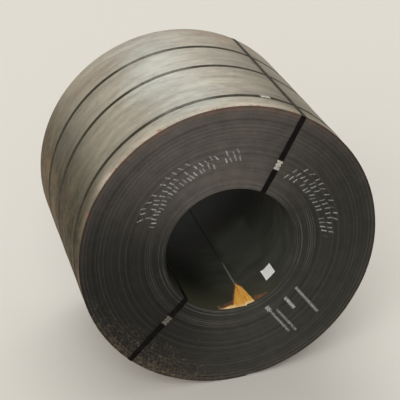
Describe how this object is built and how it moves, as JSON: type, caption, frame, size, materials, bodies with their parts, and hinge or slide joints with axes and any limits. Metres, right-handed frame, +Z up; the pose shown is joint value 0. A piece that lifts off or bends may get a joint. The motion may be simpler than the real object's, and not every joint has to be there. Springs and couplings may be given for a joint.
{
  "type": "hot-rolled steel coil",
  "caption": "Coil of hot-rolled steel strip with an open bore, lying on its side, held by bands round the outside and straps through the bore with crimped seals.",
  "frame": {"origin": "on the floor, under the middle of the coil", "axes": "+Z up; +Y along the bore, from the near end to the far end; +X to the right as seen from the near end"},
  "size_m": [1.736, 1.331, 1.736],
  "materials": {
    "mill_scale_steel": "satin",
    "strap_steel": "satin",
    "seal_steel": "satin",
    "label_paper": "matte"
  },
  "bodies": {
    "root": {"coil": "mill_scale_steel", "band_near": "strap_steel", "band_middle": "strap_steel", "band_far": "strap_steel", "eye_strap_right": "strap_steel", "eye_strap_left": "strap_steel", "seal_band_near": "seal_steel", "seal_band_middle": "seal_steel", "seal_band_far": "seal_steel", "seal_eye_right": "seal_steel", "seal_eye_left": "seal_steel", "label": "label_paper"}
  },
  "joints": []
}
